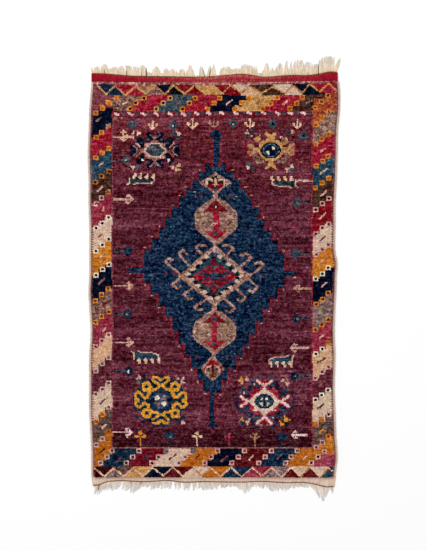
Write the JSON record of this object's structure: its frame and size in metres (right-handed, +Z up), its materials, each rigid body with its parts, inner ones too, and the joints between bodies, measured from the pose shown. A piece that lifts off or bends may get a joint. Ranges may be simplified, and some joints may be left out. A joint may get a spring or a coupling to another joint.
{
  "type": "yastik rug",
  "caption": "Small hand-knotted pile rug, lying flat: knotted body, overcast selvedges, flat-woven ends with twined edges, and warp fringes.",
  "frame": {"origin": "middle of the whole outline, fringes included, on the floor under the rug", "axes": "+X across the rug to its right, +Y along it to the end with the red flat weave, +Z up out of the pile"},
  "size_m": [0.6192, 1.0862, 0.0094],
  "materials": {
    "pile_wool": "short cut wool pile in mulberry red with a blue medallion and a border of many colours, matt with a soft sheen",
    "overcast_wool": "pale wool wound over the edge warps, matt",
    "red_weave": "weft-faced plain weave in madder red, matt",
    "pale_weave": "weft-faced plain weave in undyed pinkish cream, matt",
    "brown_twine": "dark brown wool, twined in pairs",
    "warp_wool": "loose undyed wool warps, soft and slightly glossy"
  },
  "bodies": {
    "root": {"knotted_body": "pile_wool", "selvedge_left": "overcast_wool", "selvedge_right": "overcast_wool", "kilim_end_top": "red_weave", "kilim_end_bottom": "pale_weave", "twined_cord_top": "brown_twine", "twined_cord_bottom": "brown_twine", "fringe_top": "warp_wool", "fringe_bottom": "warp_wool"}
  },
  "joints": []
}
